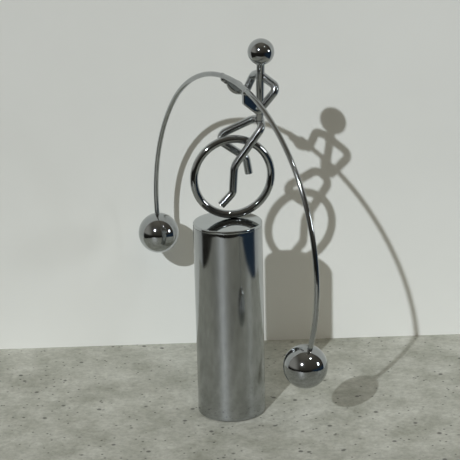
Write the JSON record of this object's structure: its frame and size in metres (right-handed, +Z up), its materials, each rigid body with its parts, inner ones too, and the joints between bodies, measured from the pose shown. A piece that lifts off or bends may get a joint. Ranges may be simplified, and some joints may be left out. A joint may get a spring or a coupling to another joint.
{
  "type": "balancing toy",
  "caption": "Wire figure on a unicycle that rocks and pivots on a polished cylindrical stand, balanced by a long curved bar with steel balls at its ends.",
  "frame": {"origin": "middle of the base, on the surface that the toy stands on", "axes": "+Z up, +X to the viewer's right, +Y away from the viewer"},
  "size_m": [0.0876, 0.1297, 0.18],
  "materials": {
    "polished_steel": "polished, with fine scratches",
    "turned_steel": "turned",
    "cast_ballast": "rough",
    "foot_rubber": "matt",
    "plated_wire": "bright plate",
    "plated_ball": "mirror polish",
    "plated_bead": "plated over the joint"
  },
  "bodies": {
    "pedestal": {"pedestal_tube": "polished_steel", "base_plug": "turned_steel", "ballast_slug": "cast_ballast", "ballast_screw": "turned_steel", "foot_pad": "foot_rubber"},
    "cap": {"top_cap": "polished_steel"},
    "wheel": {"wheel_rim": "plated_wire"},
    "rider": {"legs": "plated_wire", "torso": "plated_wire", "arms": "plated_wire", "head_ball": "plated_ball", "balance_bar": "plated_wire", "weight_far": "plated_ball", "weight_near": "plated_ball", "hip_braze": "plated_bead", "neck_braze": "plated_bead", "hand_braze_far": "plated_bead", "hand_braze_near": "plated_bead", "leg_weld_near": "plated_bead", "leg_weld_far": "plated_bead"}
  },
  "joints": [
    {"name": "spin", "type": "hinge", "parent": "pedestal", "child": "cap", "pos_m": [0, 0, 0.09], "axis": [0, 0, 1], "continuous": true},
    {"name": "sway", "type": "hinge", "parent": "cap", "child": "wheel", "pos_m": [0.0027, 0.0047, 0.09587], "axis": [0.9781, 0.2079, 0], "range_deg": [-20, 20]},
    {"name": "rock", "type": "hinge", "parent": "wheel", "child": "rider", "pos_m": [0.0028, 0.00424, 0.11396], "axis": [-0.2078, 0.9778, 0.0262], "range_deg": [-12, 12]}
  ]
}
